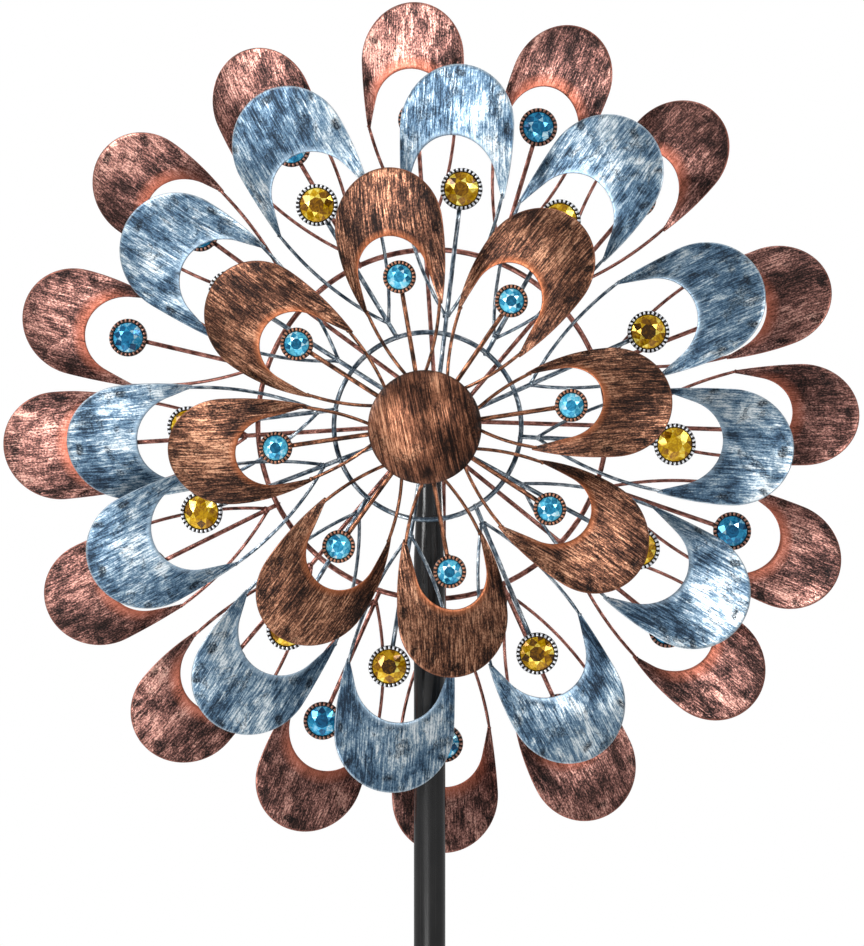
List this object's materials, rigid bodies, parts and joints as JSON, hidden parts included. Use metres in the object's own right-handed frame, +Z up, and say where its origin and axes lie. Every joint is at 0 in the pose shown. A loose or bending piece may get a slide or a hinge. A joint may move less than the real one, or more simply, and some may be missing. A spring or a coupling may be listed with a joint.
{
  "type": "kinetic wind sculpture",
  "caption": "Tall garden wind sculpture: copper and blue petal rotors set with gems spin on one axle at the top of a staked pole.",
  "frame": {"origin": "on the pole's axis at ground level, the underside of the foot plate", "axes": "+Z up along the pole, the rotors face -Y, X across them"},
  "size_m": [0.6148, 0.1974, 2.1423],
  "materials": {
    "black_enamel": "glossy black enamel on steel tube",
    "zinc_steel": "zinc-plated steel",
    "bearing_steel": "ground bearing steel",
    "dark_copper": "dark antique copper, brushed, with bright worn streaks",
    "worn_blue": "steel blue, worn through to silver in streaks",
    "rose_copper": "red-brown antique copper with dark smudges",
    "copper_setting": "blackened setting with bright coppery teeth",
    "silver_setting": "blackened setting with bright silver teeth",
    "light_blue_gem": "faceted clear acrylic over a mirror back",
    "yellow_gem": "faceted clear acrylic over a mirror back",
    "sky_blue_gem": "faceted clear acrylic over a mirror back"
  },
  "bodies": {
    "stand": {"ground_spike": "zinc_steel", "foot_plate": "black_enamel", "side_prongs": "black_enamel", "pole_lower": "black_enamel", "pole_middle": "black_enamel", "pole_upper": "black_enamel", "pole_couplers": "zinc_steel", "pole_screws": "zinc_steel", "axle_boss": "black_enamel", "main_axle": "zinc_steel", "axle_spacers": "zinc_steel", "bearing_inner_rings": "bearing_steel", "axle_washers": "zinc_steel", "axle_nuts": "zinc_steel"},
    "rear_rotor": {"rear_hub": "rose_copper", "rear_bearings": "bearing_steel", "rear_ring": "rose_copper", "rear_spokes": "rose_copper", "rear_legs": "rose_copper", "rear_bezels": "copper_setting", "rear_gems": "sky_blue_gem", "rear_petals_1": "rose_copper", "rear_petals_2": "rose_copper", "rear_petals_3": "rose_copper", "rear_petals_4": "rose_copper", "rear_petals_5": "rose_copper", "rear_petals_6": "rose_copper", "rear_petals_7": "rose_copper", "rear_petals_8": "rose_copper"},
    "middle_rotor": {"middle_hub": "worn_blue", "middle_bearings": "bearing_steel", "middle_ring": "worn_blue", "middle_spokes": "worn_blue", "middle_legs": "worn_blue", "middle_bezels": "silver_setting", "middle_gems": "yellow_gem", "middle_petals_1": "worn_blue", "middle_petals_2": "worn_blue", "middle_petals_3": "worn_blue", "middle_petals_4": "worn_blue", "middle_petals_5": "worn_blue", "middle_petals_6": "worn_blue"},
    "front_rotor": {"front_hub": "dark_copper", "front_bearings": "bearing_steel", "front_stems": "dark_copper", "front_legs": "dark_copper", "front_bezels": "copper_setting", "front_gems": "light_blue_gem", "dome_cap": "dark_copper", "front_petal_1": "dark_copper", "front_petal_2": "dark_copper", "front_petal_3": "dark_copper", "front_petal_4": "dark_copper", "front_petal_5": "dark_copper", "front_petal_6": "dark_copper", "front_petal_7": "dark_copper", "front_petal_8": "dark_copper"}
  },
  "joints": [
    {"name": "rear_rotor_spin", "type": "hinge", "parent": "stand", "child": "rear_rotor", "pos_m": [0, 0.04, 1.58], "axis": [0, -1, 0], "continuous": true},
    {"name": "middle_rotor_spin", "type": "hinge", "parent": "stand", "child": "middle_rotor", "pos_m": [0, -0.033, 1.58], "axis": [0, -1, 0], "continuous": true},
    {"name": "front_rotor_spin", "type": "hinge", "parent": "stand", "child": "front_rotor", "pos_m": [0, -0.073, 1.58], "axis": [0, -1, 0], "continuous": true}
  ]
}
